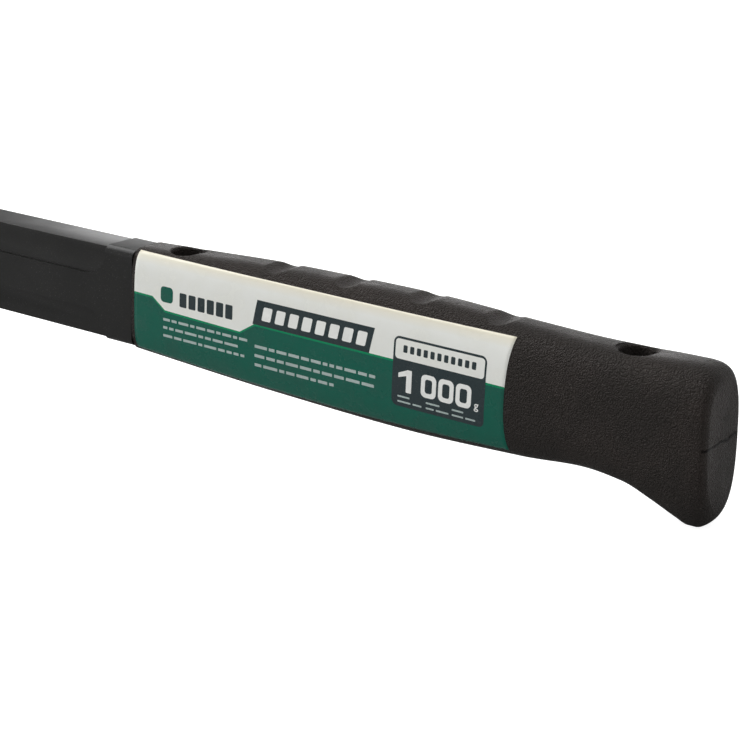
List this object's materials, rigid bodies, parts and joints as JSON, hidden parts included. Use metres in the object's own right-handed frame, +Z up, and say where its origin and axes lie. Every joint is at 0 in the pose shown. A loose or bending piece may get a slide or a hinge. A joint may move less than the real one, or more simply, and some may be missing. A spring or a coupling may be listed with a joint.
{
  "type": "rock hammer",
  "caption": "Rock hammer with a square striking face, a tapered pick, a rod-cored moulded neck and a scooped rubber grip that flares at the heel.",
  "frame": {"origin": "centre of the bounding box in plan, on the surface that the hammer stands on", "axes": "+X along the handle towards the butt, +Y across the handle, +Z up, towards the pick"},
  "size_m": [0.3208, 0.036, 0.1814],
  "materials": {
    "head_steel": "satin black enamel over forged steel, face and pick point ground bright",
    "plate_steel": "zinc-plated",
    "spring_steel": "drawn, lightly oiled",
    "damping_rubber": "matte",
    "neck_plastic": "satin",
    "spacer_plastic": "plain",
    "label_film": "glossy printed film",
    "grip_rubber": "matte, pebbled"
  },
  "bodies": {
    "root": {"hammer_head": "head_steel", "eye_sleeve": "damping_rubber", "lock_plate": "plate_steel", "neck_jacket": "neck_plastic", "foot_plate": "plate_steel", "butt_damper": "damping_rubber", "label_left": "label_film", "label_right": "label_film", "spring_rod_1": "spring_steel", "spring_rod_2": "spring_steel", "spring_rod_3": "spring_steel", "spring_rod_4": "spring_steel", "spring_rod_5": "spring_steel", "spring_rod_6": "spring_steel", "rod_spacer_1": "spacer_plastic", "rod_spacer_2": "spacer_plastic", "grip": "grip_rubber"}
  },
  "joints": []
}
